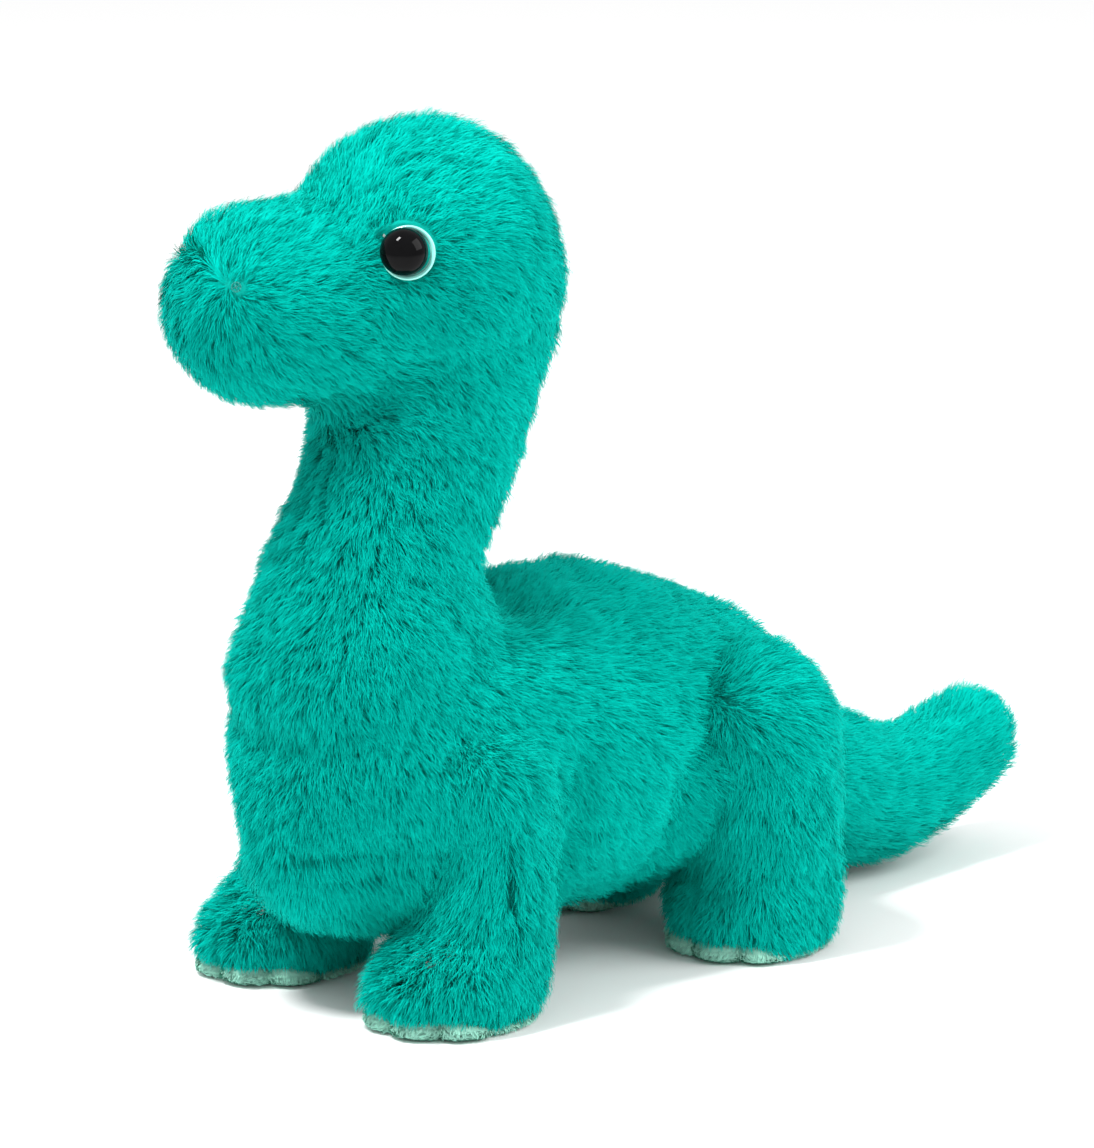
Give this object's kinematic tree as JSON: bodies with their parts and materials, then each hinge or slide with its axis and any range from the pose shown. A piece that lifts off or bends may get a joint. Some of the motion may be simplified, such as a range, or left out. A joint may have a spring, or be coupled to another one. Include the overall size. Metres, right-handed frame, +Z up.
{
  "type": "stuffed dinosaur",
  "caption": "Standing plush long-necked dinosaur of soft pile fabric with a padded neck, tail and four legs that flex, domed eyes and pale soles.",
  "frame": {"origin": "on the ground, under the middle of the bounding box", "axes": "+Z up; the toy faces -Y, its tail points along +Y and its left side is +X"},
  "size_m": [0.114, 0.2704, 0.2271],
  "materials": {
    "pile_fabric": "soft teal pile fabric, about 9 mm fibres lying over, with darker roots",
    "sole_fabric": "short-pile pale mint plush",
    "stuffing": "loose white polyester fibre",
    "eye_plastic": "polished black dome with a pale teal rim",
    "washer_plastic": "moulded natural plastic",
    "nostril_thread": "dark teal embroidery thread"
  },
  "bodies": {
    "torso": {"body_panel_left": "pile_fabric", "body_panel_right": "pile_fabric", "underbody_gusset": "pile_fabric", "body_stuffing": "stuffing"},
    "neck": {"neck_panel_left": "pile_fabric", "neck_panel_right": "pile_fabric", "throat_gusset": "pile_fabric", "neck_stuffing": "stuffing"},
    "head": {"head_panel_left": "pile_fabric", "head_panel_right": "pile_fabric", "muzzle_cover": "pile_fabric", "head_stuffing": "stuffing", "eye_left": "eye_plastic", "eye_right": "eye_plastic", "eye_washer_left": "washer_plastic", "eye_washer_right": "washer_plastic", "nostril_stitches": "nostril_thread"},
    "tail": {"tail_panel_left": "pile_fabric", "tail_panel_right": "pile_fabric", "tail_stuffing": "stuffing"},
    "front_left_leg": {"front_left_leg_outer": "pile_fabric", "front_left_leg_inner": "pile_fabric", "front_left_leg_stuffing": "stuffing", "front_left_sole": "sole_fabric"},
    "front_right_leg": {"front_right_leg_outer": "pile_fabric", "front_right_leg_inner": "pile_fabric", "front_right_leg_stuffing": "stuffing", "front_right_sole": "sole_fabric"},
    "hind_left_leg": {"hind_left_leg_outer": "pile_fabric", "hind_left_leg_inner": "pile_fabric", "hind_left_leg_stuffing": "stuffing", "hind_left_sole": "sole_fabric"},
    "hind_right_leg": {"hind_right_leg_outer": "pile_fabric", "hind_right_leg_inner": "pile_fabric", "hind_right_leg_stuffing": "stuffing", "hind_right_sole": "sole_fabric"}
  },
  "joints": [
    {"name": "neck_bend", "type": "hinge", "parent": "torso", "child": "neck", "pos_m": [0, -0.08628, 0.093], "axis": [1, 0, 0], "range_deg": [-10, 10], "stiffness_Nm_per_rad": 0.9},
    {"name": "head_turn", "type": "hinge", "parent": "neck", "child": "head", "pos_m": [0, -0.06878, 0.152], "axis": [0, 0, 1], "range_deg": [-15, 25], "stiffness_Nm_per_rad": 0.5},
    {"name": "tail_swing", "type": "hinge", "parent": "torso", "child": "tail", "pos_m": [0, 0.05272, 0.033], "axis": [0, 0, 1], "range_deg": [-15, 15], "stiffness_Nm_per_rad": 0.3},
    {"name": "front_left_leg_swing", "type": "hinge", "parent": "torso", "child": "front_left_leg", "pos_m": [0.0335, -0.07928, 0.054], "axis": [1, 0, 0], "range_deg": [-12, 12], "stiffness_Nm_per_rad": 0.8},
    {"name": "front_right_leg_swing", "type": "hinge", "parent": "torso", "child": "front_right_leg", "pos_m": [-0.0335, -0.07928, 0.054], "axis": [1, 0, 0], "range_deg": [-12, 12], "stiffness_Nm_per_rad": 0.8},
    {"name": "hind_left_leg_swing", "type": "hinge", "parent": "torso", "child": "hind_left_leg", "pos_m": [0.0335, 0.01422, 0.056], "axis": [1, 0, 0], "range_deg": [-12, 12], "stiffness_Nm_per_rad": 0.8},
    {"name": "hind_right_leg_swing", "type": "hinge", "parent": "torso", "child": "hind_right_leg", "pos_m": [-0.0335, 0.01422, 0.056], "axis": [1, 0, 0], "range_deg": [-12, 12], "stiffness_Nm_per_rad": 0.8}
  ]
}
